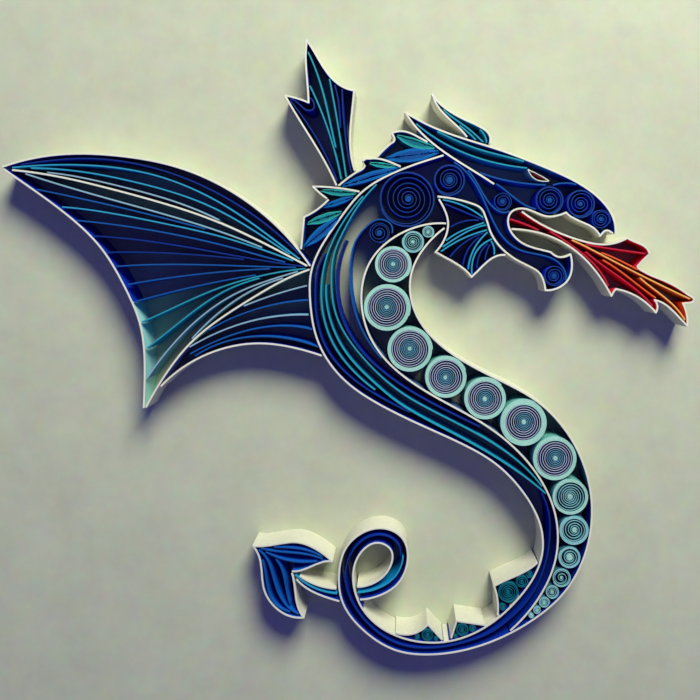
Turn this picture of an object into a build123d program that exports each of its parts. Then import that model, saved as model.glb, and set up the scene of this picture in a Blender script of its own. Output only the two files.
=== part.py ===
from build123d import *

import os
from math import ceil, cos, radians

import numpy as np

# A quilled dragon in the shape of a letter S. Paper strips stand on edge on z = 0 and are glued
# side to side: pale outline strips, coloured ribs inside them, and rolled coils between them.

# Driving dimensions, in millimetres
DRAGON_LENGTH = 183.9  # wing tip to the longest flame tip
STRIP_HEIGHT = 10.0  # width of the quilling paper, which stands on edge
OUTLINE_THICKNESS = 0.5
RIB_THICKNESS = 0.4
COIL_THICKNESS = 0.3
EYE_THICKNESS = 0.25
COIL_CORE_RADIUS = 0.65  # the tight roll at the middle of a loose coil
GLUE_GAP = 0.1  # left between two strips that are glued side by side

# The template is drawn on a grid, x to the right and y down the sheet, as a quiller pins it up
TEMPLATE_LENGTH = 694.0  # wing tip to flame tip, in grid steps
GRID_STEP = DRAGON_LENGTH / TEMPLATE_LENGTH

BELLY_TWIST = 70.0  # degrees that each belly coil is turned past the one before

# Fineness: how closely curves are measured, and how closely flat facets follow them
STATION_SPACING = 0.5
FEWEST_STATIONS = 4  # along the shortest strip
FACET_STRAY = 0.1  # the most that a facet leaves the curve it follows
FACET_TURN = 25.0  # degrees, the most that a strip turns along one facet
COIL_FACETS = 20  # round the outside of a coil with loose turns
PLAIN_COIL_FACETS = 16  # round a small coil that is rolled tight throughout
TURN_FACETS = 10  # in each loose turn
CORE_FACETS = 8  # round the tight core of a coil
FOLD_FACETS = 6  # round a fold, and round the pinched tip of a leaf
ROUNDING = 1e-9  # allowance for rounding in comparisons and divisions

# How a coil is nudged into place: first step, last step, most in all, and the eight ways round
NUDGE_START = 0.2
NUDGE_END = 0.025
NUDGE_LIMIT = 0.7
COMPASS = np.array([(0, 0), (1, 0), (1, 1), (0, 1), (-1, 1), (-1, 0), (-1, -1), (0, -1), (1, -1)])

# How a coil and a leaf are made to fit
LOOSE_PITCH = 2 * COIL_THICKNESS  # the closest that loose turns are wound
LEAF_SHRINK = 0.02  # step, as a share of the drawn size
LEAF_SMALLEST = 0.3

# Strips and coils already laid, as (starts, ends, half thickness) of short straight stretches
laid = []


def on_board(x, y):
    """Turns a point of the template into millimetres, with y up the sheet."""
    return np.array([x * GRID_STEP, -y * GRID_STEP])


def gap_to_laid(points):
    """Distance from each point to the side of the nearest strip or coil already laid."""
    nearest = np.full(len(points), np.inf)
    for starts, ends, half in laid:
        run = ends - starts
        length_squared = np.maximum((run**2).sum(axis=1), ROUNDING)
        offset = points[:, None, :] - starts[None, :, :]
        along = np.clip((offset * run).sum(axis=2) / length_squared, 0, 1)
        away = offset - along[:, :, None] * run
        distance = np.sqrt((away**2).sum(axis=2)).min(axis=1) - half
        nearest = np.minimum(nearest, distance)
    return nearest


def longest_run(free):
    """First and last index of the longest unbroken stretch of true values."""
    best = (0, -1)
    start = None
    for index, value in enumerate([*free, False]):
        if value and start is None:
            start = index
        if not value and start is not None:
            if index - 1 - start > best[1] - best[0]:
                best = (start, index - 1)
            start = None
    return best


def stations(leg):
    """Points and unit normals at close spacing along the smooth curve through a leg's points."""
    places = [Vector(*on_board(*point)) for point in leg]
    curve = Line(*places) if len(places) == 2 else Spline(*places)
    count = max(FEWEST_STATIONS, ceil(curve.length / STATION_SPACING))
    shares = [index / count for index in range(count + 1)]
    points = np.array([tuple(curve @ share)[:2] for share in shares])
    tangents = np.array([tuple(curve % share)[:2] for share in shares])
    normals = np.column_stack([-tangents[:, 1], tangents[:, 0]])
    return points, normals


def stray(points):
    """How far a row of points strays from the straight line between its ends."""
    chord = points[-1] - points[0]
    offset = points - points[0]
    area = chord[0] * offset[:, 1] - chord[1] * offset[:, 0]
    return np.abs(area).max() / np.linalg.norm(chord)


def creases(points, normals):
    """The stations where one facet of a strip ends and the next begins."""
    places = [0]
    for index in range(2, len(points)):
        start = places[-1]
        turned = normals[start] @ normals[index] < cos(radians(FACET_TURN))
        if turned or stray(points[start : index + 1]) > FACET_STRAY:
            places.append(index - 1)
    return [*places, len(points) - 1]


def leg_face(points, normals, half):
    """Footprint of one smooth stretch of strip, in facets, square at both ends."""
    places = creases(points, normals)
    left = points[places] + normals[places] * half
    right = points[places] - normals[places] * half
    return make_face(Polyline(*[tuple(corner) for corner in [*left, *right[::-1]]], close=True))


def lay(thickness, *legs):
    """Cuts one strip to the length that fits between those already laid, folded between legs."""
    half = thickness / 2
    drawn = [stations(leg) for leg in legs]
    points = np.concatenate([leg_points for leg_points, _ in drawn])
    normals = np.concatenate([leg_normals for _, leg_normals in drawn])
    free = gap_to_laid(points + normals * half) >= GLUE_GAP
    free &= gap_to_laid(points - normals * half) >= GLUE_GAP
    first, last = longest_run(free)
    footprint = None
    begin = 0
    for leg_points, leg_normals in drawn:
        end = begin + len(leg_points)
        low = max(first, begin)
        high = min(last + 1, end)
        if high - low > 1:
            face = leg_face(points[low:high], normals[low:high], half)
            if footprint is not None:
                fold = Pos(*points[low]) * RegularPolygon(half, FOLD_FACETS)
                face = footprint + fold + face
            footprint = face
        begin = end
    kept = points[first : last + 1]
    laid.append((kept[:-1], kept[1:], half))
    return extrude(footprint, STRIP_HEIGHT).solid()


def spiral(outer_radius, inner_radius, turns):
    """Footprint of a strip wound evenly inwards."""
    angles = np.linspace(0, 2 * np.pi * turns, round(turns * TURN_FACETS) + 1)
    radii = np.linspace(outer_radius, inner_radius, len(angles))
    ways = np.column_stack([np.cos(angles), np.sin(angles)])
    outer = ways * (radii + COIL_THICKNESS / 2)[:, None]
    inner = ways * (radii - COIL_THICKNESS / 2)[:, None]
    return make_face(Polyline(*[tuple(corner) for corner in [*outer, *inner[::-1]]], close=True))


def settled(drawn, wanted):
    """Nudges a coil's centre until it has the wanted room, as far as its neighbours leave any."""
    centre = drawn
    nudge = NUDGE_START
    while nudge > NUDGE_END:
        trials = centre + nudge * COMPASS
        rooms = gap_to_laid(trials)
        rooms[np.linalg.norm(trials - drawn, axis=1) > NUDGE_LIMIT] = 0
        if rooms[0] >= wanted:
            break
        best = int(rooms.argmax())
        if best == 0:
            nudge = nudge / 2
        centre = trials[best]
    return centre


def coil(x, y, radius, band_turns, loose_turns, twist=0):
    """Rolls one coil: a band of tight turns, then loose turns that wind in to a tight core.

    Its outer radius is the drawn one, or the largest that fits between its neighbours."""
    centre = settled(on_board(x, y), radius * GRID_STEP + GLUE_GAP)
    room = gap_to_laid(centre[None, :])[0] - GLUE_GAP
    outer = min(radius * GRID_STEP, room)
    laid.append((centre[None, :], centre[None, :], outer))
    inner = outer - band_turns * COIL_THICKNESS
    if loose_turns == 0 or inner < COIL_CORE_RADIUS + loose_turns * LOOSE_PITCH:
        footprint = RegularPolygon(outer, PLAIN_COIL_FACETS)
    else:
        core = RegularPolygon(COIL_CORE_RADIUS, CORE_FACETS)
        wound = spiral(inner, COIL_CORE_RADIUS, loose_turns)
        band = RegularPolygon(outer, COIL_FACETS) - RegularPolygon(inner, TURN_FACETS)
        footprint = band + wound + core
    placed = Pos(*centre) * Rot(0, 0, twist) * footprint
    return extrude(placed, STRIP_HEIGHT).solid()


def leaf(start, end, left_bulge, right_bulge):
    """Rolls one pinched leaf: two bowed sides that meet in points, with a strip down the middle.

    It keeps its drawn shape and shrinks about its middle until it fits between its neighbours."""
    half = RIB_THICKNESS / 2
    tips = np.array([start, end], dtype=float)
    middle = tips.mean(axis=0)
    along = tips[1] - tips[0]
    across = np.array([along[1], -along[0]]) / np.linalg.norm(along)
    bows = [across * left_bulge, np.zeros(2), -across * right_bulge]
    for scale in np.arange(1, LEAF_SMALLEST, -LEAF_SHRINK):
        first, last = middle + (tips - middle) * scale
        sides = [stations([first, middle + bow * scale, last]) for bow in bows]
        points = np.concatenate([side_points for side_points, _ in sides])
        if gap_to_laid(points).min() - half >= GLUE_GAP:
            break
    pinch = RegularPolygon(half, FOLD_FACETS)
    footprint = Pos(*points[0]) * pinch + Pos(*points[-1]) * pinch
    for side_points, side_normals in sides:
        footprint = footprint + leg_face(side_points, side_normals, half)
        laid.append((side_points[:-1], side_points[1:], half))
    return extrude(footprint, STRIP_HEIGHT).solid()


# Body: three long pale strips make the S, with the belly between the outer two

BACK_EDGE = [
    (443.5, 155.3), (390, 174.5), (362, 192), (340, 218.5), (310.5, 275), (310, 300),
    (316.8, 338.6), (341, 377), (385.7, 408), (446, 436.7), (495.3, 463.7), (525.9, 496.3),
    (541.7, 531), (541.5, 557.4), (520.2, 596.6), (442.7, 642.4), (360, 605), (361, 552.5),
    (378, 543), (391, 550.5), (390, 567), (374, 583), (357, 587),
]
BELLY_EDGE = [
    (444.5, 228), (425, 246.8), (411, 275), (413.5, 308), (481.6, 371.4), (541, 404.5), (591, 495),
    (563.3, 593.8), (533.6, 619.6), (430, 654.7), (396, 650.5), (364, 631), (342, 601), (339, 573),
    (346, 548), (383, 528.5), (402, 538), (400, 581), (379.3, 595.7), (358, 599.8),
]
MIDDLE_EDGE = [
    (446, 223.5), (420, 226), (370, 262), (369, 334.8), (446, 403), (491.8, 429.6), (555.5, 515.7),
    (556, 557.4), (534.5, 604.3), (509, 632),
]


def body_edges(parts):
    parts["back_edge"] = [lay(OUTLINE_THICKNESS, BACK_EDGE)]
    parts["belly_edge"] = [lay(OUTLINE_THICKNESS, BELLY_EDGE)]
    parts["middle_edge"] = [lay(OUTLINE_THICKNESS, MIDDLE_EDGE)]


# Tail strand: it passes behind the tail loop and out to the arrowhead

STRAND_UPPER_EDGE = [(340, 589), (325, 587.5), (293.5, 571.5)]
STRAND_LOWER_EDGE = [(341, 602), (324.8, 597), (306, 588), (293, 575)]
ARROW_EDGE = [
    [(292, 571.5), (307, 568.5), (320, 563), (332, 561.4)],
    [(332, 561.4), (317.5, 550.3), (296, 542.4), (276, 544.6), (252.7, 546)],
    [(252.7, 546), (260.5, 563), (264, 590), (278, 610), (303.6, 617.8)],
    [(303.6, 617.8), (296.5, 602), (294.5, 587), (291.8, 573.5)],
]
ARROW_STRIPS = [
    [(259, 546.8), (280, 547.5), (302, 549.5), (322, 557)],
    [(259, 548), (280, 552), (302, 554), (324, 560)],
    [(261, 549.5), (296, 562), (317, 561.5)],
    [(257, 549), (268, 562), (275, 585), (284, 603), (300, 615)],
    [(263, 552), (279, 564), (285, 583), (290, 604)],
    [(257, 551), (265, 572), (269, 594), (290, 612)],
]


def arrow(parts):
    parts["arrow_edge"] = [lay(OUTLINE_THICKNESS, *ARROW_EDGE)]
    parts["arrow_strips"] = [lay(RIB_THICKNESS, points) for points in ARROW_STRIPS]
    strand = [STRAND_UPPER_EDGE, STRAND_LOWER_EDGE]
    parts["tail_strand_edges"] = [lay(OUTLINE_THICKNESS, points) for points in strand]


# Wing: pale edges and a pale spar, with coloured ribs that run to the root at the back

WING_FRONT_EDGE = [(2, 167), (60, 154.5), (120, 156), (180, 168), (270, 220), (310, 266)]
WING_REAR_EDGE = [(2, 168), (70, 217.5), (100, 247), (125, 288), (140, 325), (144.5, 370), (143.5, 408)]
WING_MEMBRANE_EDGE = [(311, 269), (280, 282), (250, 299.5), (190, 343.5), (165, 375), (145, 409)]
WING_LOWER_EDGE = [(144, 409), (200, 357.5), (260, 343.5), (290, 347), (325, 357)]
WING_SPAR = [(12, 170), (60, 177), (120, 191.5), (220, 223), (260, 241.5), (307, 266)]
WING_NAVY_RIBS = [
    [(8, 167.3), (50, 160.5), (90, 158.5), (250, 213), (308, 264)],
    [(92, 236), (170, 244.5), (250, 258.5), (307, 267)],
    [(107, 252.5), (150, 252.5), (240, 259), (307, 267.3)],
]
WING_BLUE_RIBS = [
    [(37, 189.5), (80, 198.5), (205, 229)],
    [(77, 220.5), (120, 225.5), (240, 250), (280, 261), (307, 266.7)],
    [(116, 266.5), (180, 264.5), (240, 266), (307, 267.6)],
    [(128, 284.5), (240, 270.5), (307, 268)],
    [(134, 302), (250, 276), (307, 268.3)],
]
WING_CYAN_RIBS = [
    [(12, 167.6), (110, 167), (150, 174), (230, 209), (270, 237), (307, 265)],
    [(10, 168.4), (90, 173), (130, 181), (210, 206.5), (290, 254.5), (307, 265.5)],
    [(62, 207), (100, 211.5), (140, 219), (220, 236.5), (260, 249), (307, 266.3)],
]
WING_TEAL_RIBS = [
    [(142, 322), (170, 309.5), (210, 291.5), (250, 278.5), (307, 268.6)],
    [(147, 348), (170, 330), (230, 288.5), (260, 278), (307, 269)],
]
WING_PALE_RIBS = [
    [(30, 171.5), (70, 175.5), (110, 184), (160, 197), (235, 229)],
    [(20, 172), (100, 196.5), (240, 239), (280, 255), (307, 266)],
    [(146, 380), (160, 360), (240, 291.5), (270, 280), (305, 269.5)],
    [(150, 396), (200, 330), (260, 286.5), (290, 276.5)],
]
PANEL_BLUE_RIBS = [
    [(205, 332), (270, 305.5), (312, 300)],
    [(190, 354), (220, 339.5), (280, 326), (314, 330)],
    [(195, 356), (250, 337), (280, 337.5), (318, 347)],
]
PANEL_PALE_RIBS = [
    [(230, 312), (250, 303.5), (312, 284.5)],
    [(188, 348), (280, 316), (312, 315)],
]


def wing(parts):
    parts["wing_front_edge"] = [lay(OUTLINE_THICKNESS, WING_FRONT_EDGE)]
    parts["wing_rear_edge"] = [lay(OUTLINE_THICKNESS, WING_REAR_EDGE)]
    parts["wing_membrane_edge"] = [lay(OUTLINE_THICKNESS, WING_MEMBRANE_EDGE)]
    parts["wing_lower_edge"] = [lay(OUTLINE_THICKNESS, WING_LOWER_EDGE)]
    parts["wing_spar"] = [lay(OUTLINE_THICKNESS, WING_SPAR)]
    parts["wing_cyan_ribs"] = [lay(RIB_THICKNESS, points) for points in WING_CYAN_RIBS]
    parts["wing_pale_ribs"] = [lay(RIB_THICKNESS, points) for points in WING_PALE_RIBS]
    parts["wing_navy_ribs"] = [lay(RIB_THICKNESS, points) for points in WING_NAVY_RIBS]
    parts["wing_teal_ribs"] = [lay(RIB_THICKNESS, points) for points in WING_TEAL_RIBS]
    parts["wing_blue_ribs"] = [lay(RIB_THICKNESS, points) for points in WING_BLUE_RIBS]
    parts["panel_blue_ribs"] = [lay(RIB_THICKNESS, points) for points in PANEL_BLUE_RIBS]
    parts["panel_pale_ribs"] = [lay(RIB_THICKNESS, points) for points in PANEL_PALE_RIBS]


# Spines along the neck: four folded pale strips, each holding a teal leaf and a blue leaf

SPINE_EDGES = [
    [
        [(301, 249), (304, 217)],
        [(304, 217), (315, 211), (328.5, 199.5)],
    ],
    [
        [(330, 200.5), (322, 195), (313, 186.5)],
        [(313, 186.5), (345, 189), (363, 192.5)],
    ],
    [
        [(337, 187), (350, 176.5), (367, 166)],
        [(367, 166), (363.5, 160.5)],
        [(363.5, 160.5), (380, 159), (390, 162), (404, 168)],
    ],
    [
        [(376, 158), (385, 148.5), (394.5, 140.5)],
        [(394.5, 140.5), (392, 133)],
        [(392, 133), (410, 133), (420, 138), (436, 145)],
    ],
]
SPINE_TEAL_LEAVES = [
    ((306.5, 224), (338, 213), 3.5, 4),
    ((318, 190), (355, 193), 1.5, 4),
    ((367, 162.5), (396, 166.5), 1.5, 3),
    ((396, 135), (430, 146), 2, 6),
]
SPINE_BLUE_LEAVES = [
    ((305, 246), (334, 222), 5.5, 5),
    ((321, 208), (352, 197), 3, 3),
    ((343, 186), (394, 170), 5, 3),
    ((383, 159), (437, 152), 8, 8),
]


def spines(parts):
    parts["spine_edges"] = [lay(OUTLINE_THICKNESS, *legs) for legs in SPINE_EDGES]
    parts["spine_teal_leaves"] = [leaf(*drawn) for drawn in SPINE_TEAL_LEAVES]
    parts["spine_blue_leaves"] = [leaf(*drawn) for drawn in SPINE_BLUE_LEAVES]


# Fin: a tall folded outline over the spines, with ribs that follow its rear side

FIN_EDGE = [
    [(337, 187), (326, 164), (300, 121), (285, 95.5)],
    [(285, 95.5), (296, 98), (308.5, 102.5)],
    [(308.5, 102.5), (306.5, 75), (305.5, 55), (306.5, 40)],
    [(306.5, 40), (320, 62), (335, 81.5), (354, 90.5)],
    [(354, 90.5), (351, 120), (350, 145), (356, 174)],
]
FIN_NAVY_RIBS = [
    [(290, 99), (300, 105), (309, 110.5), (313, 109), (314, 105), (310, 98)],
    [(288, 98), (318, 141), (337, 181)],
    [(334, 83), (338, 100), (341, 140), (347, 176)],
    [(342, 89), (344, 125), (351, 172)],
]
FIN_TEAL_RIBS = [
    [(309, 84), (330, 136), (341, 179)],
    [(308, 52), (325, 101), (334, 141), (344, 178)],
    [(329, 77), (340, 138), (346, 177)],
]


def fin(parts):
    parts["fin_edge"] = [lay(OUTLINE_THICKNESS, *FIN_EDGE)]
    parts["fin_teal_ribs"] = [lay(RIB_THICKNESS, points) for points in FIN_TEAL_RIBS]
    parts["fin_navy_ribs"] = [lay(RIB_THICKNESS, points) for points in FIN_NAVY_RIBS]


# Spikes along the tail: three folded pale strips with teal coils in them

TAIL_SPIKE_EDGES = [
    [
        [(541, 558.5), (527.5, 570.3), (515.4, 576.3), (494.2, 586.3)],
        [(494.2, 586.3), (497.8, 603), (497.2, 619)],
    ],
    [
        [(490, 626), (456.5, 621.2)],
        [(456.5, 621.2), (450.6, 640)],
    ],
    [
        [(443.5, 641.5), (427.9, 624.8)],
        [(427.9, 624.8), (416, 633), (392, 632)],
    ],
]
TAIL_SPIKE_COILS = [
    (507.5, 592.7, 11.5, 3, 1),
    (521.5, 581, 7, 0, 0),
    (530.5, 572.7, 4.8, 0, 0),
    (502.7, 609.7, 5.5, 0, 0),
    (462, 629, 6.5, 0, 0),
    (473, 628.4, 4.6, 0, 0),
    (455.4, 636.5, 3, 0, 0),
    (426.3, 634, 7.3, 0, 0),
    (414.5, 637, 4.2, 0, 0),
    (436, 638.2, 3.5, 0, 0),
]


def tail_spikes(parts):
    parts["tail_spike_edges"] = [lay(OUTLINE_THICKNESS, *legs) for legs in TAIL_SPIKE_EDGES]
    parts["tail_spike_coils"] = [coil(*drawn) for drawn in TAIL_SPIKE_COILS]


# Head: skull outline with its horn, rear horn, jaws, frill and eye. Its outlines are laid first
# of all, so that the neck, spines and fin end against them

SKULL_EDGE = [
    [(494, 184), (463, 164.4), (434.4, 144.7), (405, 112)],
    [(405, 112), (463, 138.4), (500, 150), (540, 165.5), (600, 199), (611.5, 214), (615.5, 233.5)],
]
REAR_HORN_EDGE = [
    [(469, 140), (459, 128), (444, 114), (432.3, 94.2)],
    [(432.3, 94.2), (447, 109.5), (470, 122), (489.8, 136), (488.4, 147)],
]
MOUTH_EDGE = [
    [(614.5, 234), (606.5, 230.3)],
    [(606.5, 230.3), (600, 236)],
    [(600, 236), (592, 227), (578, 220.5), (566, 212.5)],
    [
        (566, 212.5), (558, 215.5), (548, 216.5), (521, 208.5), (511, 212.5), (508, 221),
        (523, 243.5), (540, 249.5), (551, 252.3),
    ],
    [(551, 252.3), (557, 256.5), (570.5, 254.3)],
    [(570.5, 254.3), (572, 264), (568, 280), (557, 288.5), (545.5, 290.3)],
    [
        (545.5, 290.3), (543.5, 281), (540.5, 274.5), (525, 264.5), (489, 228), (480, 207.5),
        (470, 203), (455, 199), (437.5, 196.5),
    ],
]
FRILL_EDGE = [
    [(437.8, 197.5), (444, 208.5), (448, 222), (445, 238), (435.5, 252)],
    [(435.5, 252), (450, 260), (462, 267.5), (471.6, 277)],
    [(471.6, 277), (487, 262), (497, 256), (509, 256)],
]
FRILL_TEAL_RIBS = [
    [(438, 250), (453, 240), (467, 231.7), (486, 225)],
    [(471.8, 274), (478.6, 248.6), (492, 239)],
    [(441, 199.5), (472, 210), (486, 220)],
    [(441, 246), (454, 235), (470, 227.5), (486, 222)],
    [(441, 251.5), (456, 242), (487, 230)],
    [(468, 271), (471, 256), (489, 231)],
    [(493.5, 258), (494, 248), (491, 241)],
]
FRILL_NAVY_RIBS = [
    [(443, 203), (486, 221)],
    [(449, 228), (463, 221.5), (486, 221.5)],
    [(450, 257), (464, 243), (487, 232)],
    [(463, 265), (468, 250), (487, 232)],
    [(477, 268), (480, 254), (491, 241)],
    [(485, 261.5), (487, 251), (491, 243)],
]
EYE_EDGE = [
    [(528, 169.5), (538.5, 174.5), (549, 181)],
    [(549, 181), (532, 176.5), (528, 169.5)],
]
EYE_LINER = [(533, 174), (544, 179.3)]
SNOUT_COILS = [
    (550.9, 198.8, 14.3, 2, 1),
    (580.8, 203, 14.4, 2, 1),
    (601.8, 218.5, 9.7, 2, 1),
]
JAW_COILS = [
    (505, 201.5, 10.5, 2, 1),
    (552.7, 277.2, 11.5, 2, 1),
]
JAW_STRIPS = [
    [(448, 157), (461, 164), (474, 178), (492, 206), (503, 212.5), (511, 210)],
    [(454, 162), (468, 174), (490, 214), (502, 236), (520, 250), (559, 263), (566, 276), (561, 286)],
]
HEAD_BLUE_STRIPS = [
    [(493, 182), (505, 190), (524, 204.5), (536, 209)],
    [(450, 155), (468, 167), (515, 182), (546, 185)],
    [(553, 185), (566, 183), (592, 193)],
]
HEAD_TEAL_STRIPS = [
    [(424, 124.5), (450, 137.5), (475, 148), (510, 157.5), (540, 167)],
    [(412, 120), (430, 134.5), (475, 157), (527, 168)],
    [(436, 99), (447, 113), (465, 126), (478, 137), (487, 146)],
    [(443, 111), (455, 122), (470, 134), (478, 143)],
    [(462, 119.5), (477, 127), (485, 136), (486, 146)],
]


def head_edges(parts):
    parts["skull_edge"] = [lay(OUTLINE_THICKNESS, *SKULL_EDGE)]
    parts["rear_horn_edge"] = [lay(OUTLINE_THICKNESS, *REAR_HORN_EDGE)]
    parts["mouth_edge"] = [lay(OUTLINE_THICKNESS, *MOUTH_EDGE)]
    parts["frill_edge"] = [lay(OUTLINE_THICKNESS, *FRILL_EDGE)]


def head(parts):
    parts["eye_strips"] = [lay(EYE_THICKNESS, *EYE_EDGE), lay(EYE_THICKNESS, EYE_LINER)]
    parts["jaw_strips"] = [lay(RIB_THICKNESS, points) for points in JAW_STRIPS]
    parts["head_blue_strips"] = [lay(RIB_THICKNESS, points) for points in HEAD_BLUE_STRIPS]
    parts["head_teal_strips"] = [lay(RIB_THICKNESS, points) for points in HEAD_TEAL_STRIPS]
    parts["snout_coils"] = [coil(*drawn) for drawn in SNOUT_COILS]
    parts["jaw_coils"] = [coil(*drawn) for drawn in JAW_COILS]
    parts["frill_teal_ribs"] = [lay(RIB_THICKNESS, points) for points in FRILL_TEAL_RIBS]
    parts["frill_navy_ribs"] = [lay(RIB_THICKNESS, points) for points in FRILL_NAVY_RIBS]


# Neck: three dark coils above the belly

NECK_COIL_LARGE = (408, 201, 28, 4, 3)
NECK_COILS_SMALL = [
    (450, 180, 16, 1, 2),
    (380, 233.5, 10.5, 2, 1),
]


def neck(parts):
    parts["neck_coil_large"] = [coil(*NECK_COIL_LARGE)]
    parts["neck_coils_small"] = [coil(*drawn) for drawn in NECK_COILS_SMALL]


# Belly: a row of coils between the middle and outer edges, smaller towards both ends

BELLY_COILS = [
    (392.3, 263.8, 18.6, 2, 2),
    (386.3, 308.5, 23.7, 4, 2),
    (408.4, 350.2, 22.9, 4, 2),
    (445, 377.3, 22.2, 4, 2),
    (485.8, 397.8, 22.9, 4, 2),
    (525, 423.3, 24.4, 6, 2),
    (554.2, 458.6, 22.2, 4, 2),
    (569.8, 496.2, 18.2, 4, 2),
    (573.8, 529.6, 15, 4, 1),
    (568.8, 556.6, 11.3, 3, 1),
]
BELLY_COILS_SMALL = [
    (414, 241, 11.3, 3, 0),
    (428.7, 230.5, 6.5, 0, 0),
    (560.8, 575.6, 9.5, 2, 0),
    (553, 590.6, 7, 0, 0),
    (545.6, 601.8, 6, 0, 0),
    (538.8, 610.2, 4.6, 0, 0),
    (532.2, 616.4, 4, 0, 0),
]


def belly(parts):
    for number, drawn in enumerate(BELLY_COILS, start=1):
        parts[f"belly_coil_{number:02d}"] = [coil(*drawn, twist=number * BELLY_TWIST)]
    parts["belly_coils_small"] = [coil(*drawn) for drawn in BELLY_COILS_SMALL]


# Long coloured strips that flow down the neck and body and along the tail

BODY_TEAL_STRIPS = [
    [(363, 196), (345, 219), (325, 262), (331, 340), (357, 375), (375, 390)],
    [
        (326, 285), (328, 312), (349, 357), (371, 380), (400, 404), (430.6, 421.5), (510.6, 467),
        (547, 495),
    ],
    [
        (378, 183), (356, 209), (343, 232), (334, 254), (331.3, 285), (335, 312), (363, 358),
        (400, 392), (430.6, 410), (510.6, 455.5), (543, 488),
    ],
]
BODY_NAVY_STRIPS = [
    [(351, 212), (331, 245), (318.5, 267), (315, 290), (325, 346), (385, 400), (440, 426), (525, 485)],
    [(346, 240), (338, 264), (340.5, 314), (461, 418), (480, 427)],
]
SCROLL_STRIP = [
    (392, 233), (390, 223.5), (379, 219.5), (366, 227), (355, 242), (350.5, 262), (355, 312),
    (384, 361),
]
TAIL_NAVY_STRIP = [
    (541, 492), (549, 514), (549.5, 540), (528, 600), (512, 617), (490, 633), (465, 642.5),
    (398, 644), (366, 622), (345.5, 570), (368, 537.5), (384, 535.5), (397, 543), (400.5, 556),
]
TAIL_TEAL_STRIPS = [
    [(403, 558), (385, 585), (370, 591), (356, 593)],
    [(339, 594), (308, 585), (295, 575)],
]


def flowing_strips(parts):
    parts["scroll_strip"] = [lay(RIB_THICKNESS, SCROLL_STRIP)]
    parts["body_teal_strips"] = [lay(RIB_THICKNESS, points) for points in BODY_TEAL_STRIPS]
    parts["body_navy_strips"] = [lay(RIB_THICKNESS, points) for points in BODY_NAVY_STRIPS]
    parts["tail_navy_strip"] = [lay(RIB_THICKNESS, TAIL_NAVY_STRIP)]
    parts["tail_teal_strips"] = [lay(RIB_THICKNESS, points) for points in TAIL_TEAL_STRIPS]


# Flame: a folded pale outline from the back of the mouth, with red, orange and gold strips

FLAME_EDGE = [
    [(516, 207), (543.6, 225.6), (575.7, 239), (602, 244.5), (627.5, 238)],
    [(627.5, 238), (649.5, 253.5)],
    [(649.5, 253.5), (637, 266)],
    [(637, 266), (646, 273), (664, 280.5), (680, 289), (695, 300.5)],
    [(695, 300.5), (683, 303.5)],
    [(683, 303.5), (686.5, 313), (687.5, 326)],
    [(687.5, 326), (677, 315), (666, 305), (654.7, 300)],
    [(654.7, 300), (657.5, 306), (656, 312.7)],
    [(656, 312.7), (632, 294), (616, 289)],
    [(616, 289), (611.5, 296)],
    [(611.5, 296), (549, 236), (508, 229)],
]
FLAME_GOLD_STRIPS = [
    [(556, 234), (580, 243.7), (600, 254), (672, 290.5), (690, 299)],
    [(640, 278), (655, 290), (670, 302), (685, 320)],
]
FLAME_ORANGE_STRIPS = [
    [(582, 247), (605, 254), (665, 285), (687, 296.5)],
    [(603, 260), (628, 277), (650, 294), (668, 306.5), (682, 319)],
]
FLAME_RED_STRIPS = [
    [(511, 213.5), (530, 221), (578, 250), (594, 264), (611, 293)],
    [(570, 240), (592, 245.5), (620, 250), (647, 254)],
    [(586, 252), (608, 269), (645, 297.5), (655, 309)],
    [(510, 219), (525, 224), (542, 232)],
]


def flame(parts):
    parts["flame_edge"] = [lay(OUTLINE_THICKNESS, *FLAME_EDGE)]
    parts["flame_gold_strips"] = [lay(RIB_THICKNESS, points) for points in FLAME_GOLD_STRIPS]
    parts["flame_orange_strips"] = [lay(RIB_THICKNESS, points) for points in FLAME_ORANGE_STRIPS]
    parts["flame_red_strips"] = [lay(RIB_THICKNESS, points) for points in FLAME_RED_STRIPS]


def build():
    """Lays every strip and coil in the order that a quiller glues them, outlines first."""
    parts = {}
    head_edges(parts)
    body_edges(parts)
    wing(parts)
    spines(parts)
    fin(parts)
    head(parts)
    neck(parts)
    belly(parts)
    flowing_strips(parts)
    tail_spikes(parts)
    arrow(parts)
    flame(parts)
    return parts


def main():
    parts = build()
    # The origin is the middle of the footprint, on the board
    dragon = Compound([solid for solids in parts.values() for solid in solids])
    middle = dragon.bounding_box().center()
    to_origin = Pos(-middle.X, -middle.Y, 0)
    os.makedirs("parts", exist_ok=True)
    for name, solids in parts.items():
        export_step(Compound([to_origin * solid for solid in solids]), f"parts/{name}.step")


main()
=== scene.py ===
import math
import random

import bmesh
import bpy
import numpy as np
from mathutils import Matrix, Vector


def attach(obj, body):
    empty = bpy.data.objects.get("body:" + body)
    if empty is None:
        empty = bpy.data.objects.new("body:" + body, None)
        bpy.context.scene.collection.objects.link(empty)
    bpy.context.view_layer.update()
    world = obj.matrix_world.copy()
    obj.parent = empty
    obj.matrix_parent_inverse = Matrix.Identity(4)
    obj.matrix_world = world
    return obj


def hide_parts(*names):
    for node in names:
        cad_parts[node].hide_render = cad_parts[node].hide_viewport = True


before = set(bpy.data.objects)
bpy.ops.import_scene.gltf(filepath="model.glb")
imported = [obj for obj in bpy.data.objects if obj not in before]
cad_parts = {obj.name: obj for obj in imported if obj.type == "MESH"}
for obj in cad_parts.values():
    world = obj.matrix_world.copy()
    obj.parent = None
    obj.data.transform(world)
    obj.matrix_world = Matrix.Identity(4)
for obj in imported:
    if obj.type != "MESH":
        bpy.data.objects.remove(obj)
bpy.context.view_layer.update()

# A quilled dragon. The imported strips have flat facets. Here each strip is rebuilt along the smooth
# line through them, with a bevelled cut edge, and each coil is rolled with about its real number of
# turns. Every strip stands on edge on the plane z = 0. Lengths are in metres.

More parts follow.
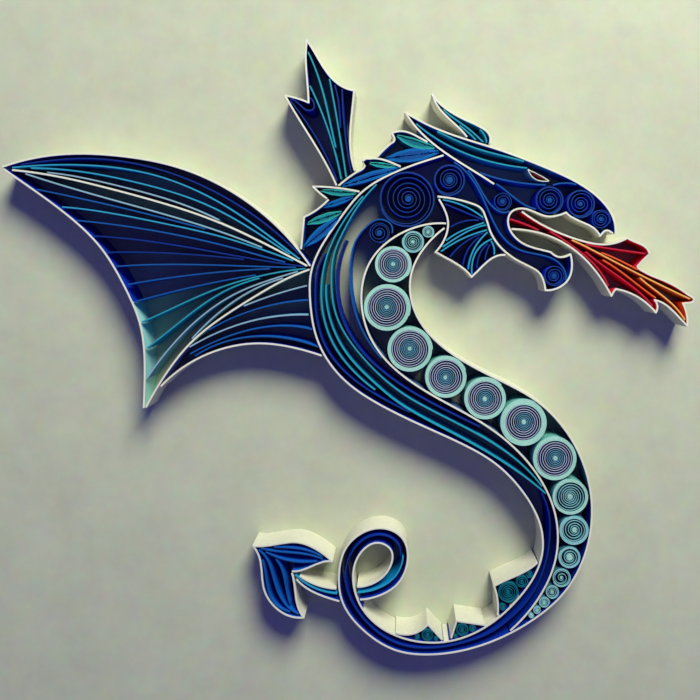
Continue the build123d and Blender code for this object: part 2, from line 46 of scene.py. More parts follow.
MM = 0.001
HEIGHT = 10.0 * MM  # the width of all the strips, which stands upright
OUTLINE = 0.5 * MM  # thickness of the white outlines
RIB = 0.4 * MM
EYE = 0.25 * MM


# Paper: for each shade its wall colour and its cut edge colour, as sRGB from 0 to 255. The two
# are one paper in two tones that paint the light: lighter cut edges are a painted highlight, darker
# walls are painted shade between the strips, and brighter, more saturated walls paint the coloured
# light that bounces in the shaded bays

PAPERS_WITH_PAINTED_LIGHT = {
    "white": ((230, 230, 208), (240, 240, 220)),
    "navy": ((8, 54, 186), (16, 50, 130)),
    "blue": ((10, 104, 214), (24, 88, 162)),
    "cyan": ((16, 164, 224), (50, 162, 198)),
    "teal": ((14, 172, 208), (44, 160, 180)),
    "pale": ((110, 184, 212), (146, 184, 202)),
    "slate": ((20, 66, 214), (30, 70, 144)),
    # bay is a slate blue for the walls in the belly's bays, set to the tone of their shaded floor:
    # painted shade
    "bay": ((84, 116, 168), (84, 116, 168)),
    "mint": ((110, 190, 184), (176, 228, 212)),
    # The next two are the coils' mint paper in other tones: their dark walls are painted shade in
    # the gaps between the loose turns, and their edges are tinted and dimmed as painted light
    "lavender": ((20, 40, 84), (188, 200, 230)),
    "seafoam": ((20, 60, 92), (104, 164, 190)),
    "leaf_teal": ((20, 160, 176), (40, 164, 160)),
    "aqua": ((20, 160, 176), (60, 184, 176)),
    "leaf_blue": ((14, 112, 214), (16, 114, 190)),
    "deep_teal": ((10, 110, 146), (22, 120, 140)),
    "red": ((250, 50, 96), (206, 36, 66)),
    "wine": ((120, 18, 40), (130, 26, 48)),
    "orange": ((252, 104, 44), (240, 100, 52)),
    "gold": ((252, 160, 60), (255, 186, 104)),
    "mist": ((60, 128, 148), (146, 208, 210)),
    # shell is a lighter tone than mint for the wing's lower tip, whose walls stand in shade: painted
    # light
    "shell": ((176, 236, 230), (176, 236, 230)),
}
ROUGHNESS = 0.62
SPECULAR = 0.12
DRIFT_SCALE = 60.0  # the slow drift of a paper's tone
DRIFT_DETAIL = 3.0
DRIFT_STOPS = (0.3, 0.7)
FIBRE_DETAIL = 4.0
FIBRE_ROUGHNESS = 0.65
GRAIN = 0.25  # how much the fibres show in the colour
RELIEF_DEPTH = 0.00003


def linear(rgb):
    """Scene colour of an sRGB colour, by the standard's curve."""
    shares = [value / 255 for value in rgb]
    return [s / 12.92 if s <= 0.04045 else ((s + 0.055) / 1.055) ** 2.4 for s in shares]


def add_noise(tree, place, **values):
    """Adds a noise texture that lies in the piece's own coordinates."""
    noise = tree.nodes.new("ShaderNodeTexNoise")
    for name, value in values.items():
        noise.inputs[name].default_value = value
    tree.links.new(place.outputs["Object"], noise.inputs["Vector"])
    return noise


def paper(name, rgb, variation=0.06, bump=0.25, fibre_scale=900.0):
    """Matt coloured paper: a slow drift of tone, fine fibres and a slight relief."""
    material = bpy.data.materials.new(name)
    material.use_nodes = True
    tree = material.node_tree
    shader = tree.nodes["Principled BSDF"]
    shader.inputs["Roughness"].default_value = ROUGHNESS
    shader.inputs["Specular IOR Level"].default_value = SPECULAR
    place = tree.nodes.new("ShaderNodeTexCoord")
    drift = add_noise(tree, place, Scale=DRIFT_SCALE, Detail=DRIFT_DETAIL)
    tone = tree.nodes.new("ShaderNodeValToRGB")
    levels = (1 - variation, 1 + variation)
    for stop, position, level in zip(tone.color_ramp.elements, DRIFT_STOPS, levels):
        stop.position = position
        stop.color = [*[min(1, share * level) for share in linear(rgb)], 1]
    tree.links.new(drift.outputs["Fac"], tone.inputs["Fac"])
    fibres = add_noise(
        tree, place, Scale=fibre_scale, Detail=FIBRE_DETAIL, Roughness=FIBRE_ROUGHNESS
    )
    grain = tree.nodes.new("ShaderNodeMix")
    grain.data_type = "RGBA"
    grain.blend_type = "MULTIPLY"
    grain.inputs["Factor"].default_value = GRAIN
    tree.links.new(tone.outputs["Color"], grain.inputs["A"])
    tree.links.new(fibres.outputs["Color"], grain.inputs["B"])
    tree.links.new(grain.outputs["Result"], shader.inputs["Base Color"])
    relief = tree.nodes.new("ShaderNodeBump")
    relief.inputs["Strength"].default_value = bump
    relief.inputs["Distance"].default_value = RELIEF_DEPTH
    tree.links.new(fibres.outputs["Fac"], relief.inputs["Height"])
    tree.links.new(relief.outputs["Normal"], shader.inputs["Normal"])
    return material


# Each shade gives a wall and an edge material of one paper, in the two tones that paint the light
papers = {
    name: (paper(f"{name}_wall", wall), paper(f"{name}_edge", edge))
    for name, (wall, edge) in PAPERS_WITH_PAINTED_LIGHT.items()
}


# Directions on the page

SHORTEST = 1e-12  # the shortest length that is divided by


def unit(vector):
    return vector / max(np.linalg.norm(vector), SHORTEST)


def cross(a, b):
    return a[0] * b[1] - a[1] * b[0]


def left_of(way):
    """The direction a quarter turn to the left of a direction, or of each one in a row."""
    return np.stack([-way[..., 1], way[..., 0]], axis=-1)


def right_of(way):
    """The same to the right."""
    return np.stack([way[..., 1], -way[..., 0]], axis=-1)


def angle_between(a, b):
    """The angle between two unit directions, in radians."""
    return math.acos(np.clip(a @ b, -1, 1))


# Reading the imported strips: the outlines of each solid's top face

SAME_POINT = 1e-7  # corners this close are one
TOP_BAND = 1e-6
SHORTEST_FACET = 6e-6


def top_links(mesh, points):
    """The steps from corner to corner round each top face of a mesh, by the corner that they start
    from. Corners that meet count as one."""
    apart = np.linalg.norm(points[:, None, :] - points[None, :, :], axis=2)
    merged = (apart < SAME_POINT).argmax(axis=1)
    top = points[:, 2].max() - TOP_BAND
    links = {}
    for polygon in mesh.polygons:
        corners = [merged[v] for v in polygon.vertices]
        if min(points[c][2] for c in corners) < top:
            continue
        for a, b in zip(corners, corners[1:] + corners[:1]):
            if a != b:
                links.setdefault(a, []).append(b)
    return links


def top_outlines(node):
    """For each solid of a CAD node, the closed outlines of its top face, the outer one first."""
    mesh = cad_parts[node].data
    points = np.array([v.co for v in mesh.vertices], float)
    links = top_links(mesh, points)
    group = {}

    def root(a):
        while group.get(a, a) != a:
            a = group[a]
        return a

    # A step that no face takes the other way is on an outline
    one_way = {}
    for a, ends in links.items():
        for b in set(ends):
            spare = ends.count(b) - links.get(b, []).count(a)
            one_way.setdefault(a, []).extend([b] * max(0, spare))
            group[root(a)] = root(b)
    loops = {}
    for start in sorted(one_way):
        while one_way[start]:
            loop = [start]
            here = one_way[start].pop()
            while here != start:
                loop.append(here)
                here = one_way[here].pop()
            corners = points[loop][:, :2]
            steps = np.linalg.norm(corners - np.roll(corners, 1, axis=0), axis=1)
            corners = corners[steps > SHORTEST_FACET]
            if len(corners) > 2:
                loops.setdefault(root(start), []).append(corners)
    for found in loops.values():
        found.sort(key=lambda loop: -np.ptp(loop, axis=0).prod())
    return sorted(loops.values(), key=lambda found: tuple(found[0].mean(axis=0)))


# A strip's two sides are a thickness apart at its two ends and at each crease between two facets.
# The tolerances are shares of the thickness, or products of two directions.

END_TOLERANCE = 0.02
END_SQUARE = 0.25  # an end is nearly square to the two sides
ENDS_BACK = -0.8  # which run in opposite directions
CREASE_TOLERANCE = 0.002
MOST_SLANT = 0.5  # of the sides, where a rounded corner starts and ends
ACROSS_TOLERANCE = 1.0005


def strip_sides(outline, thickness):
    """The two sides of a strip, each from the first end to the second, or None without two ends."""
    count = len(outline)
    runs = np.roll(outline, -1, axis=0) - outline
    lengths = [np.linalg.norm(run) for run in runs]
    ways = [unit(run) for run in runs]
    ends = [
        k
        for k in range(count)
        if abs(lengths[k] - thickness) < END_TOLERANCE * thickness
        and ways[k - 1] @ ways[(k + 1) % count] < ENDS_BACK
        and abs(ways[k - 1] @ ways[k]) < END_SQUARE
        and abs(ways[k] @ ways[(k + 1) % count]) < END_SQUARE
    ]
    if len(ends) != 2:
        return None
    first, second = ends
    right = [outline[k % count] for k in range(first + 1, second + 1)]
    left = [outline[k % count] for k in range(second + 1, first + count + 1)][::-1]
    return left, right


def creases(left, right, thickness):
    """The pairs of points, one on each side, that face each other across the strip."""
    pairs = []
    low = 0
    for i, point in enumerate(left):
        for j in range(low, len(right)):
            gap = np.linalg.norm(point - right[j])
            if abs(gap - thickness) < CREASE_TOLERANCE * thickness:
                pairs.append((i, j))
                low = j + 1
                break
    return pairs


def rounded_fold(side, low, high, half, outward):
    """Finds a fold's rounded corner on a strip's outer side, between two of its points.

    Gives the corner's first and last point, its centre, and the normals at those points.
    """
    least, best = MOST_SLANT, None
    for u in range(max(low, 1), high):
        for v in range(u + 1, min(high + 1, len(side) - 1)):
            chord = side[v] - side[u]
            if np.linalg.norm(chord) > 2 * half * ACROSS_TOLERANCE:
                continue
            middle = (side[u] + side[v]) / 2
            away = unit(left_of(chord)) * math.sqrt(max(half**2 - (chord @ chord) / 4, 0))
            for centre in (middle + away, middle - away):
                n0, n1 = unit(side[u] - centre), unit(side[v] - centre)
                slant = abs(unit(side[u] - side[u - 1]) @ n0)
                slant += abs(unit(side[v + 1] - side[v]) @ n1)
                if slant < least and n0 @ outward > 0:
                    least, best = slant, (u, v, centre, n0, n1)
    return best


def plain_fold(side, low, high, first, last, outward):
    """The same for a fold without a rounded corner: where the middle lines of its two legs meet."""
    v0, v1 = unit(side[low + 1] - side[low]), unit(side[high] - side[high - 1])
    corner = first + v0 * cross(last - first, v1) / cross(v0, v1)
    n0, n1 = unit(left_of(v0)), unit(left_of(v1))
    if n0 @ outward <= 0:
        n0, n1 = -n0, -n1
    return low + 1, high - 1, corner, n0, n1


def strip_legs(outline, thickness):
    """Splits a strip at its folds into legs, each as points and tangents down its middle."""
    sides = strip_sides(outline, thickness)
    if sides is None:
        return None
    left, right = sides
    half = thickness / 2
    legs = [[]]
    previous = None
    for i, j in creases(left, right, thickness):
        middle = (left[i] + right[j]) / 2
        if previous is not None and (i - previous[0] > 1 or j - previous[1] > 1):
            # A fold: its outer side has points that face none on the inner side
            a, b = previous
            on_left = i - a >= j - b
            sign, side, start, end = (1, left, a, i) if on_left else (-1, right, b, j)
            outward = unit(left[a] - right[b]) * sign
            fold = rounded_fold(side, start, end, half, outward)
            if fold is None:
                before = (left[a] + right[b]) / 2
                fold = plain_fold(side, start, end, before, middle, outward)
            u, v, corner, n0, n1 = fold
            # The outer side's points before and after the fold, for which None stands
            for k in [*range(start + 1, u), None, *range(v + 1, end)]:
                if k is None:
                    legs[-1] += [(corner, n0 * sign)] if u > start else []
                    legs.append([(corner, n1 * sign)] if v < end else [])
                    outward = n1
                    continue
                across = left_of(unit(unit(side[k] - side[k - 1]) + unit(side[k + 1] - side[k])))
                outward = across if across @ outward > 0 else -across
                legs[-1].append((side[k] - outward * half, outward * sign))
        legs[-1].append((middle, unit(left[i] - right[j])))
        previous = (i, j)
    found = []
    for leg in legs:
        points, normals = (np.array(row) for row in zip(*leg))
        tangents = right_of(normals)
        backward = (tangents * np.gradient(points, axis=0)).sum(axis=1) < 0
        found.append((points, tangents * np.where(backward, -1, 1)[:, None]))
    return found


def split_legs(points, sharpest):
    """Splits a row of points where it turns by more than sharpest degrees, with tangents."""
    runs = np.diff(points, axis=0)
    runs = runs / np.linalg.norm(runs, axis=1)[:, None]
    legs = []
    start = 0
    for k in range(1, len(points)):
        last = k == len(points) - 1
        if not last and math.degrees(angle_between(runs[k - 1], runs[k])) <= sharpest:
            continue
        leg = points[start : k + 1]
        within = runs[start:k]
        between = [unit(a + b) for a, b in zip(within, within[1:])]
        tangents = [within[0], *between, within[-1]]
        if len(leg) > 2:
            # The end facets go on turning as the curve does beside them
            tangents[0] = unit(2 * (within[0] @ tangents[1]) * within[0] - tangents[1])
            tangents[-1] = unit(2 * (within[-1] @ tangents[-2]) * within[-1] - tangents[-2])
        legs.append((leg, np.array(tangents)))
        start = k
    return legs


MOST_TURN = 4.0  # degrees from one row of points to the next
LONGEST_FACET = 2.5 * MM


def smooth(points, tangents):
    """The smooth curve through the crease points of a strip, finely divided, with its normals."""
    fine_points = [points[0]]
    fine_ways = [tangents[0]]
    for start, end, a, b in zip(points, points[1:], tangents, tangents[1:]):
        length = np.linalg.norm(end - start)
        turn = math.degrees(angle_between(a, b))
        count = max(1, math.ceil(turn / MOST_TURN), math.ceil(length / LONGEST_FACET))
        for s in np.linspace(0, 1, count + 1)[1:]:
            # Cubic Hermite curve: h for the place, g for the direction
            h = (2 * s**3 - 3 * s**2 + 1, s**3 - 2 * s**2 + s, -2 * s**3 + 3 * s**2, s**3 - s**2)
            g = (6 * s**2 - 6 * s, 3 * s**2 - 4 * s + 1, -6 * s**2 + 6 * s, 3 * s**2 - 2 * s)
            place, way = (
                w[0] * start + w[1] * length * a + w[2] * end + w[3] * length * b for w in (h, g)
            )
            fine_points.append(place)
            fine_ways.append(unit(way))
    return np.array(fine_points), left_of(np.array(fine_ways))


# Building a strip: a cross-section with bevelled upper corners, carried along its middle. The
# section's corners run up the left wall, over the cut edge and down the right wall.

SECTION = 6
LEFT_WALL, CUT_EDGE, RIGHT_WALL = 0, (1, 2, 3), 4
BEVEL = 0.05 * MM
BEVEL_SHARE = 0.3  # of the thickness, at most
SHARP_ANGLE = 28  # degrees from which an edge is shaded as a corner


class Sheet:
    """Collects the strips of one piece, each in a shade with a wall and an edge material, which
    paint the light.
    """

    def __init__(self):
        self.corners = []
        self.faces = []
        self.materials = []

    def strip(self, left, right, tops, shade=0, closed=False, linings=None):
        """Adds a strip from its two sides and the height along them.

        Linings are the shades of the left and the right wall from each row of points to the next:
        coloured paper that also paints the bays' shade.
        """
        first = len(self.corners)
        for one, other, top in zip(left, right, tops):
            width = np.linalg.norm(other - one)
            across = unit(other - one) * min(BEVEL, width * BEVEL_SHARE)
            self.corners += [
                (*one, 0),
                (*one, top - BEVEL),
                (*(one + across), top),
                (*(other - across), top),
                (*other, top - BEVEL),
                (*other, 0),
            ]
        count = len(left)
        for k in range(count if closed else count - 1):
            a = first + k * SECTION
            b = first + (k + 1) % count * SECTION
            walls = [shade] * SECTION
            if linings is not None:
                walls[LEFT_WALL], walls[RIGHT_WALL] = linings[0][k], linings[1][k]
            for side in range(SECTION):
                onward = (side + 1) % SECTION
                self.faces.append((a + side, b + side, b + onward, a + onward))
                # Cut edges take the shade's edge tone and walls their wall tone: painted light
                self.materials.append(shade * 2 + 1 if side in CUT_EDGE else walls[side] * 2)
        if not closed:
            last = first + (count - 1) * SECTION
            self.faces.append(tuple(first + side for side in range(SECTION)))
            self.faces.append(tuple(last + side for side in reversed(range(SECTION))))
            self.materials += [shade * 2, shade * 2]

    def finish(self, node, shades):
        """Makes the visible piece of a CAD node, with its shades' papers in order."""
        name = f"{node}_paper"
        mesh = bpy.data.meshes.new(name)
        mesh.from_pydata([tuple(corner) for corner in self.corners], [], self.faces)
        for shade in shades:
            for material in papers[shade]:
                mesh.materials.append(material)
        mesh.polygons.foreach_set("material_index", self.materials)
        mesh.polygons.foreach_set("use_smooth", [True] * len(self.faces))
        shell = bmesh.new()
        shell.from_mesh(mesh)
        bmesh.ops.recalc_face_normals(shell, faces=shell.faces)
        shell.to_mesh(mesh)
        shell.free()
        mesh.set_sharp_from_angle(angle=math.radians(SHARP_ANGLE))
        piece = bpy.data.objects.new(name, mesh)
        bpy.context.scene.collection.objects.link(piece)
        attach(piece, "root")
        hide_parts(node)


WAVE_LENGTHS = (3, 7, 17, 31)  # of the waves in a cut edge, in mm
WAVE_SIZES = (0.3, 1)
WAVE_SUM = 3  # about the most that the waves add up to
ANY_PHASE = 6.28
ROW_SPACING = 0.8 * MM  # between a strip's rows of points, about
EDGE_SWAY = 0.03 * MM
RIBBON_SWAY = 0.02 * MM
COIL_SWAY = 0.012 * MM


def wavy(count, spacing, seed, size):
    """Gentle random ups and downs along a strip, from 0 down to about -2 size."""
    chance = random.Random(seed)
    along = np.arange(count) * spacing
    wave = np.zeros(count)
    for length in WAVE_LENGTHS:
        phase = chance.uniform(0, ANY_PHASE)
        wave += np.sin(along / (length * MM) * 2 * math.pi + phase) * chance.uniform(*WAVE_SIZES)
    return size * (wave / WAVE_SUM - 1)


# Folding a strip between two legs

LEAST_OPENING = 0.05  # sine of half the angle between the legs
LONGEST_FOLD = 2 * MM
FOLD_CLEARANCE = 1.02
FOLD_STEP = 25  # degrees between the points of a rounded corner, at most


def fold_between(before, after, half):
    """The fold between two legs with given normals: the way to its inner corner, how far that is
    from the middle line's corner, and how much of each leg the fold takes."""
    back, onward = left_of(before), right_of(after)
    opening = angle_between(back, onward) / 2
    reach = min(half / max(math.sin(opening), LEAST_OPENING), LONGEST_FOLD)
    return unit(back + onward), reach, reach * math.cos(opening) * FOLD_CLEARANCE


def fold_rows(corner, before, after, inward, reach, half):
    """A fold's rows of points: its inner side meets in one, and its outer side is rounded."""
    inner = corner + inward * reach
    turns_left = before @ inward > 0
    sign = -1 if turns_left else 1
    low, high = (math.atan2(sign * normal[1], sign * normal[0]) for normal in (before, after))
    sweep = (high - low + math.pi) % (2 * math.pi) - math.pi
    steps = max(2, math.ceil(abs(math.degrees(sweep)) / FOLD_STEP))
    rows = []
    for share in np.linspace(0, 1, steps + 1):
        angle = low + sweep * share
        outer = corner + half * np.array([math.cos(angle), math.sin(angle)])
        rows.append((inner, outer) if turns_left else (outer, inner))
    return rows


def add_strip(sheet, legs, thickness, shade, seed, shade_lining=None):
    """Adds one strip, folded between its legs, to a sheet."""
    half = thickness / 2
    fine = [smooth(points, tangents) for points, tangents in legs]
    rows = []
    for index, (points, normals) in enumerate(fine):
        low, high = 0, len(points)
        if index > 0:
            before = fine[index - 1][1][-1]
            inward, reach, trim = fold_between(before, normals[0], half)
            rows += fold_rows(points[0], before, normals[0], inward, reach, half)
            while low < high - 1 and np.linalg.norm(points[low] - points[0]) < trim:
                low += 1
        if index + 1 < len(fine):
            trim = fold_between(normals[-1], fine[index + 1][1][0], half)[2]
            while high > low + 1 and np.linalg.norm(points[high - 1] - points[-1]) < trim:
                high -= 1
        rows += [
            (point + normal * half, point - normal * half)
            for point, normal in zip(points[low:high], normals[low:high])
        ]
    left, right = (np.array(side) for side in zip(*rows))
    tops = HEIGHT + wavy(len(rows), ROW_SPACING, seed, EDGE_SWAY)
    sheet.strip(left, right, tops, shade, linings=shade_lining(left, right) if shade_lining else None)


PACKED_RIM = 0.4 * RIB  # the width of the rim on a solid that is drawn as it was packed


def add_as_packed(sheet, outlines):
    """Adds a solid whose two ends can't be told, with walls and a bevelled rim on its outlines."""
    for loop in outlines:
        before = np.array([unit(run) for run in loop - np.roll(loop, 1, axis=0)])
        inward = left_of(before + np.roll(before, -1, axis=0))
        inner = loop + np.array([unit(way) for way in inward]) * PACKED_RIM
        sheet.strip(loop, inner, np.full(len(loop), HEIGHT), closed=True)


SHORTEST_SPACING = 0.05 * MM  # between the points of a ribbon


def add_ribbon(sheet, points, thickness, shade, seed, sway=RIBBON_SWAY):
    """Adds a strip along a row of close points."""
    ways = np.gradient(points, axis=0)
    ways = ways / np.maximum(np.linalg.norm(ways, axis=1), SHORTEST)[:, None]
    across = left_of(ways) * thickness / 2
    spacing = np.linalg.norm(points[1] - points[0])
    tops = HEIGHT + wavy(len(points), max(spacing, SHORTEST_SPACING), seed, sway)
    sheet.strip(points + across, points - across, tops, shade)


# Rolling a coil

PITCH = 1.02  # from turn to turn of tight paper, in thicknesses
CORE_START = 0.45  # the paper's innermost radius, in thicknesses
COIL_FACET = 0.45 * MM
FINEST_TURN, COARSEST_TURN = 44, 12  # facets in a turn
SAG = 0.3  # how far the loose turns lie inside an even spiral, as a share of its depth
WOBBLE = 0.06  # of the loose turns, in thicknesses
WOBBLE_WAVES = 3  # in a turn
START_STEP = 47  # degrees between the outer ends of coils with neighbouring seeds
MIDDLE_SHARE = 0.4  # of the loose turns, where their painted shade changes
SHADE_OVERLAP = 0.1


def add_coil(sheet, outline, thickness, tight, gap, loose, core, lean, seed):
    """Rolls a coil: tight turns outside, a gap, loose turns inwards, and a tight core."""
    middle = outline.mean(axis=0)
    phase = random.Random(seed).uniform(0, 2 * math.pi)
    outer = np.linalg.norm(outline - middle, axis=1).max() - thickness / 2
    inside = outer - tight * thickness
    last = thickness * CORE_START
    turns = np.cumsum([0, tight, 1, loose, max(core - last, 0) / thickness / PITCH])
    radii = [outer, inside, inside - gap, max(core, last), last]
    turned = [0.0]
    while turned[-1] < turns[-1]:
        facet = COIL_FACET / np.interp(turned[-1], turns, radii) / 2 / math.pi
        turned.append(turned[-1] + min(max(facet, 1 / FINEST_TURN), 1 / COARSEST_TURN))
    turned = np.array(turned)
    share = np.clip((turned - turns[2]) / loose, 0, 1)
    radius = np.interp(turned, turns, radii) - SAG * (radii[2] - radii[3]) * share * (1 - share)
    free = (turned > turns[1]) & (turned < turns[3])
    wobble = WOBBLE * thickness * np.sin(2 * WOBBLE_WAVES * math.pi * turned + phase)
    radius = radius + np.where(free, wobble, 0)
    angle = turned * 2 * math.pi + math.radians(seed * START_STEP % 360)
    away = lean * (1 - radius / outer) * outer
    row = middle + radius[:, None] * np.column_stack([np.cos(angle), np.sin(angle)])
    row = row + away[:, None] * np.array([math.cos(phase), math.sin(phase)])
    # Each zone takes the next shade of its node's list. Where the loose and inner turns take
    # darker-walled tones of the coil's paper, these are painted shade in the gaps between the turns
    bounds = [
        0, turns[1] + SHADE_OVERLAP, turns[2] + MIDDLE_SHARE * loose, turns[3], turns[4] + 1
    ]
    for shade, (low, high) in enumerate(zip(bounds, bounds[1:])):
        part = row[max(np.searchsorted(turned, low) - 1, 0) : np.searchsorted(turned, high) + 1]
        if len(part) > 2:
            add_ribbon(sheet, part, thickness, shade, seed + shade, COIL_SWAY)


# The white strips that bound the bays, as rows of top edges, and what lies beside a point

EDGES = [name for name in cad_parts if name.endswith(("_edge", "_edges"))] + ["wing_spar"]
EDGE_STEPS = np.concatenate([
    np.stack([loop, np.roll(loop, -1, axis=0)], axis=1)
    for name in EDGES
    for found in top_outlines(name)
    for loop in found
])
FREE = 1.0  # how far a point can go where it meets no strip
LEAST_WAY = 1e-6
PARALLEL = 1e-15
LOOKS = 24  # directions round a point
FIRST_LOOK = 0.05


def free_ways(points, ways):
    """How far each point can go, each in its own direction, before it meets a white strip."""
    along = EDGE_STEPS[:, 1] - EDGE_STEPS[:, 0]
    offset = EDGE_STEPS[None, :, 0] - points[:, None, :]
    across = ways[:, None, 0] * along[None, :, 1] - ways[:, None, 1] * along[None, :, 0]
    across = np.where(np.abs(across) < PARALLEL, PARALLEL, across)
    far = (offset[..., 0] * along[None, :, 1] - offset[..., 1] * along[None, :, 0]) / across
    share = (offset[..., 0] * ways[:, None, 1] - offset[..., 1] * ways[:, None, 0]) / across
    met = (far > LEAST_WAY) & (share >= 0) & (share <= 1)
    return np.where(met, far, FREE).min(axis=1)


def enclosed(points, furthest):
    """The share of the directions round each point in which a white strip stands."""
    met = []
    for angle in np.arange(LOOKS) * 2 * math.pi / LOOKS + FIRST_LOOK:
        ways = np.tile([math.cos(angle), math.sin(angle)], (len(points), 1))
        met.append(free_ways(points, ways) < furthest)
    return np.mean(met, axis=0)


# Filling a leaf

LEAF_CLEARANCE = 0.4 * MM
MOST_SPARE = 2.5 * MM  # how much further than the CAD's a leaf's tip may reach
LEAF_ROWS = 60
LEAF_SMOOTHINGS = 3
ON_SIDE = -1e-9
LAYER_PITCH = 1.06  # in thicknesses
CRIMP = 0.25  # of the inner layers, in thicknesses
CRIMP_LENGTH = 0.9 * MM
CRIMP_LAYERS = 3  # in which the crimp grows to the full
LEAST_WIDTH = 0.62  # of a layer, from the leaf's middle, in thicknesses
FEWEST_ROWS = 5
LEAF_LAYERS = (0, 1, 1, 2)  # the shade of each layer inwards, the last for all that follow


def add_leaf(sheet, outline, thickness, seed):
    """Fills a pinched leaf with strips that follow its two sides inwards, from tip to tip."""
    spans = np.linalg.norm(outline[:, None, :] - outline[None, :, :], axis=2)
    a, b = np.unravel_index(spans.argmax(), spans.shape)
    along = unit(outline[b] - outline[a])
    up = left_of(along)
    free = free_ways(outline[[a, b]], np.array([-along, along])) - LEAF_CLEARANCE
    spare = np.clip(free, 0, MOST_SPARE)
    tip = outline[a] - along * spare[0]
    length = spans.max() + sum(spare)
    stretch = length / spans.max()
    chance = random.Random(seed)
    for side in (1, -1):
        rows = [
            ((p - outline[a]) @ along * stretch, side * ((p - outline[a]) @ up)) for p in outline
        ]
        rows = np.array([(0, 0), *sorted(row for row in rows if row[1] >= ON_SIDE), (length, 0)])
        rows = rows[rows[:, 0].argsort()]
        fine = np.linspace(0, length, LEAF_ROWS)
        width = np.interp(fine, rows[:, 0], rows[:, 1])
        for _ in range(LEAF_SMOOTHINGS):
            width[1:-1] = (width[:-2] + 2 * width[1:-1] + width[2:]) / 4
        layer = 0
        while True:
            inset = thickness * (0.5 + layer * LAYER_PITCH)
            crimp = CRIMP * thickness * min(layer, CRIMP_LAYERS) / CRIMP_LAYERS
            phase = chance.uniform(0, ANY_PHASE)
            offset = width - inset + crimp * np.sin(fine / CRIMP_LENGTH * 2 * math.pi + phase)
            kept = offset > thickness * LEAST_WIDTH
            if kept.sum() < FEWEST_ROWS:
                break
            row = tip + np.outer(fine[kept], along) + np.outer(offset[kept] * side, up)
            shade = LEAF_LAYERS[min(layer, len(LEAF_LAYERS) - 1)]
            add_ribbon(sheet, row, thickness, shade, seed + layer)
            layer += 1


# The bays' side of a white strip is lined with coloured paper, which also paints the bays' shade:
# the walls that face an enclosed bay take a darker or tinted colour. For each node its shade, how
# far off the bay's other walls may stand (mm), and whether only the better enclosed side has it

SHADE_LININGS = {
    "arrow_edge": ("blue", 30, True),
    "back_edge": ("navy", 70, False),
    "belly_edge": ("bay", 40, False),
    "fin_edge": ("navy", 50, False),
    "flame_edge": ("red", 40, True),
    "frill_edge": ("navy", 40, False),
    "middle_edge": ("bay", 40, False),
    "mouth_edge": ("blue", 40, True),
    "rear_horn_edge": ("teal", 30, False),
    "skull_edge": ("blue", 60, False),
    "spine_edges": ("leaf_blue", 30, True),
    "tail_spike_edges": ("deep_teal", 30, True),
    "tail_strand_edges": ("navy", 40, True),
    "wing_front_edge": ("navy", 90, False),
    "wing_lower_edge": ("navy", 60, False),
    "wing_rear_edge": ("navy", 90, False),
}
# Another shade of the lined walls past a line on the page, paper and painted light as above: the
# way across the line, and how far off the line is (mm)
FAR_SHADE_LININGS = {
    "belly_edge": ("navy", (0, -1), 38),
    "flame_edge": ("orange", (1, 0), 81.5),
    "middle_edge": ("navy", (0, -1), 38),
    "wing_rear_edge": ("shell", (0, -1), -12),
}
# Past such a line, on the tail, a side is lined only where another wall is near: painted shade in
# the narrow gaps
NARROW = {
    "back_edge": ((0, -1), 40),
    "belly_edge": ((-1, -1), 38),
}
NEAR = 5.2 * MM
BARE, LINED, FAR_LINED = 0, 1, 2
PROBE_OFFSET = 0.3 * MM  # from a strip's side to the points that look round
ENCLOSED = 0.93
BETTER_ENCLOSED = 0.8  # where only one side has a lining
SHORTEST_SHADE_LINING = 2 * MM  # a stretch that is shorter takes the shade before it


def past(points, way, offset):
    """Which points lie past a line on the page."""
    return points @ np.array(way) > offset * MM


def steady(lined, points):
    """Gives each short lined stretch the shade of the one before it."""
    lengths = np.linalg.norm(np.diff(points, axis=0), axis=1)
    turns = [k for k in range(1, len(lined)) if lined[k] != lined[k - 1]]
    for low, high in zip(turns, turns[1:] + [len(lined)]):
        if lined[low] != BARE and lengths[low:high].sum() < SHORTEST_SHADE_LINING:
            lined[low:high] = lined[low - 1]
    return lined


def shade_lining_of(node):
    """Finds a white strip's lined walls, coloured paper that also paints shade: for its two sides,
    which shade shows along each stretch.
    """
    _, furthest, one_sided = SHADE_LININGS[node]

    def find(left, right):
        across = left - right
        across = across / np.linalg.norm(across, axis=1)[:, None]
        shares = []
        for points, outward in ((left, across[:-1]), (right, -across[:-1])):
            probes = (points[:-1] + points[1:]) / 2 + outward * PROBE_OFFSET
            near = free_ways(probes, outward) < NEAR
            share = enclosed(probes, furthest * MM)
            if one_sided:
                share = np.maximum(share, near)
            elif node in NARROW:
                share = np.where(past(probes, *NARROW[node]) & ~near, 0, share)
            shares.append(share)
        best = max(share.mean() for share in shares)
        linings = []
        for points, share in zip((left, right), shares):
            lined = np.where(share > (BETTER_ENCLOSED if one_sided else ENCLOSED), LINED, BARE)
            if one_sided and share.mean() < best:
                lined[:] = BARE
            if node in FAR_SHADE_LININGS:
                far = past(points[:-1], *FAR_SHADE_LININGS[node][1:])
                lined[far & (lined == LINED)] = FAR_LINED
            linings.append(steady(lined, points))
        return linings

    return find


# Outlines and ribs: for each node, the shade of its paper

